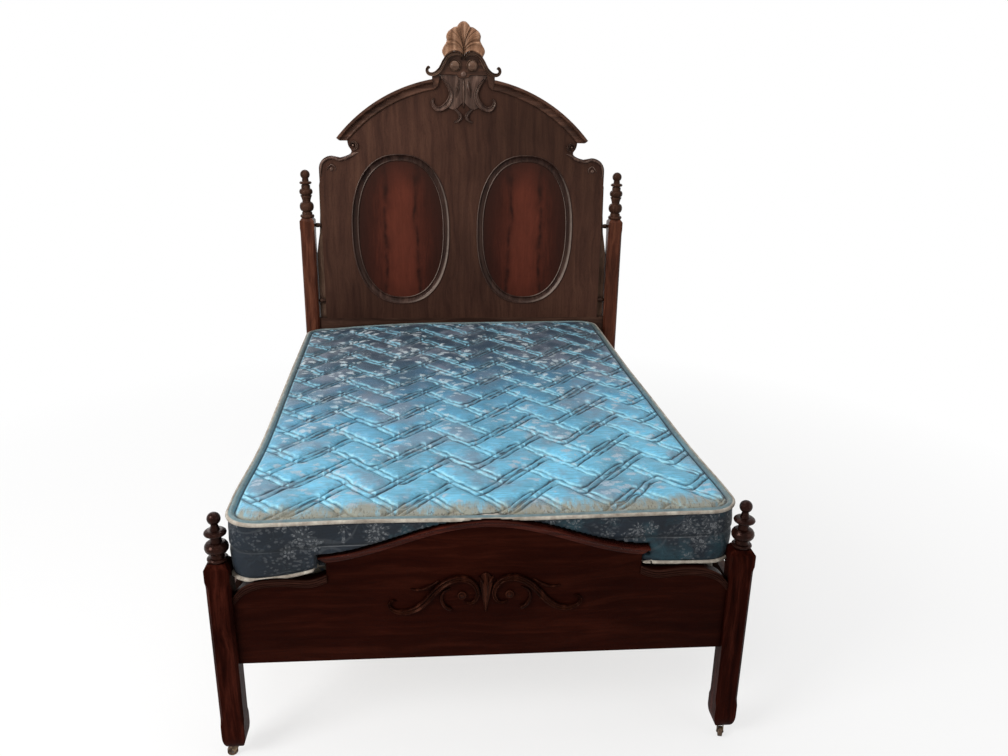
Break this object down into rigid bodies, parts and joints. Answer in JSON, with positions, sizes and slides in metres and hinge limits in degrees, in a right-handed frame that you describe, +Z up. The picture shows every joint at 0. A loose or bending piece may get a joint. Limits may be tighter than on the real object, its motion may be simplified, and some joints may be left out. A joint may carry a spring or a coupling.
{
  "type": "bed",
  "caption": "Antique carved bed: arched headboard with oval veneered panels and a palmette crest, turned finials, moulded footboard, casters, box spring and quilted damask mattress.",
  "frame": {"origin": "middle of the bed's footprint, on the floor", "axes": "+Z up, +Y towards the headboard, +X towards the bed's right side as seen from the foot"},
  "size_m": [1.5, 2.0234, 2.123],
  "materials": {
    "turned_walnut": "gloss",
    "post_walnut": "satin",
    "flame_veneer": "satin",
    "ring_walnut": "gloss",
    "crest_walnut": "satin",
    "carved_walnut": "gloss",
    "cap_mahogany": "gloss",
    "moulding_walnut": "gloss",
    "batten_wood": "matt",
    "panel_walnut": "satin",
    "rail_walnut": "satin",
    "slat_pine": "matt",
    "iron": "matt",
    "spring_ticking": "matt",
    "damask": "satin",
    "caster_wheel": "worn",
    "caster_brass": "tarnished"
  },
  "bodies": {
    "frame": {"head_post_left": "post_walnut", "head_post_right": "post_walnut", "head_finial_left": "turned_walnut", "head_finial_right": "turned_walnut", "headboard_panel": "panel_walnut", "headboard_batten_left": "batten_wood", "headboard_batten_right": "batten_wood", "headboard_bottom_rail": "rail_walnut", "headboard_pegs": "batten_wood", "oval_veneer_left": "flame_veneer", "oval_veneer_right": "flame_veneer", "oval_ring_left": "ring_walnut", "oval_ring_right": "ring_walnut", "arch_moulding_left": "moulding_walnut", "arch_moulding_right": "moulding_walnut", "crest_block": "moulding_walnut", "crest_palmette": "crest_walnut", "crest_scroll_left": "crest_walnut", "crest_scroll_right": "crest_walnut", "crest_drop": "carved_walnut", "shoulder_scroll_left": "carved_walnut", "shoulder_scroll_right": "carved_walnut", "foot_post_left": "post_walnut", "foot_post_right": "post_walnut", "foot_finial_left": "turned_walnut", "foot_finial_right": "turned_walnut", "footboard_panel": "panel_walnut", "footboard_cap": "cap_mahogany", "footboard_reeding_left": "moulding_walnut", "footboard_reeding_right": "moulding_walnut", "footboard_scroll_left": "carved_walnut", "footboard_scroll_right": "carved_walnut", "footboard_leaf": "carved_walnut", "side_rail_left": "rail_walnut", "side_rail_right": "rail_walnut", "ledger_left": "slat_pine", "ledger_right": "slat_pine", "slats": "slat_pine", "rail_hooks": "iron", "hook_keepers": "iron", "box_spring": "ring_walnut", "mattress": "damask", "caster_socket_foot_left": "caster_brass", "caster_socket_foot_right": "caster_brass", "caster_socket_head_left": "caster_brass", "caster_socket_head_right": "caster_brass"},
    "caster fork foot left": {"caster_horn_foot_left": "caster_brass", "caster_axle_foot_left": "iron"},
    "caster wheel foot left": {"caster_wheel_foot_left": "caster_wheel"},
    "caster fork foot right": {"caster_horn_foot_right": "caster_brass", "caster_axle_foot_right": "iron"},
    "caster wheel foot right": {"caster_wheel_foot_right": "caster_wheel"},
    "caster fork head left": {"caster_horn_head_left": "caster_brass", "caster_axle_head_left": "iron"},
    "caster wheel head left": {"caster_wheel_head_left": "caster_wheel"},
    "caster fork head right": {"caster_horn_head_right": "caster_brass", "caster_axle_head_right": "iron"},
    "caster wheel head right": {"caster_wheel_head_right": "caster_wheel"}
  },
  "joints": [
    {"name": "swivel_foot_left", "type": "hinge", "parent": "frame", "child": "caster fork foot left", "pos_m": [-0.7175, -0.9735, 0.04], "axis": [0, 0, 1], "continuous": true},
    {"name": "roll_foot_left", "type": "hinge", "parent": "caster fork foot left", "child": "caster wheel foot left", "pos_m": [-0.73102, -0.97712, 0.015], "axis": [0.2588, -0.9659, 0], "continuous": true},
    {"name": "swivel_foot_right", "type": "hinge", "parent": "frame", "child": "caster fork foot right", "pos_m": [0.7175, -0.9735, 0.04], "axis": [0, 0, 1], "continuous": true},
    {"name": "roll_foot_right", "type": "hinge", "parent": "caster fork foot right", "child": "caster wheel foot right", "pos_m": [0.71388, -0.98702, 0.015], "axis": [0.9659, -0.2588, 0], "continuous": true},
    {"name": "swivel_head_left", "type": "hinge", "parent": "frame", "child": "caster fork head left", "pos_m": [-0.7175, 0.9735, 0.04], "axis": [0, 0, 1], "continuous": true},
    {"name": "roll_head_left", "type": "hinge", "parent": "caster fork head left", "child": "caster wheel head left", "pos_m": [-0.73066, 0.97829, 0.015], "axis": [-0.342, -0.9397, 0], "continuous": true},
    {"name": "swivel_head_right", "type": "hinge", "parent": "frame", "child": "caster fork head right", "pos_m": [0.7175, 0.9735, 0.04], "axis": [0, 0, 1], "continuous": true},
    {"name": "roll_head_right", "type": "hinge", "parent": "caster fork head right", "child": "caster wheel head right", "pos_m": [0.73066, 0.97829, 0.015], "axis": [-0.342, 0.9397, 0], "continuous": true}
  ]
}
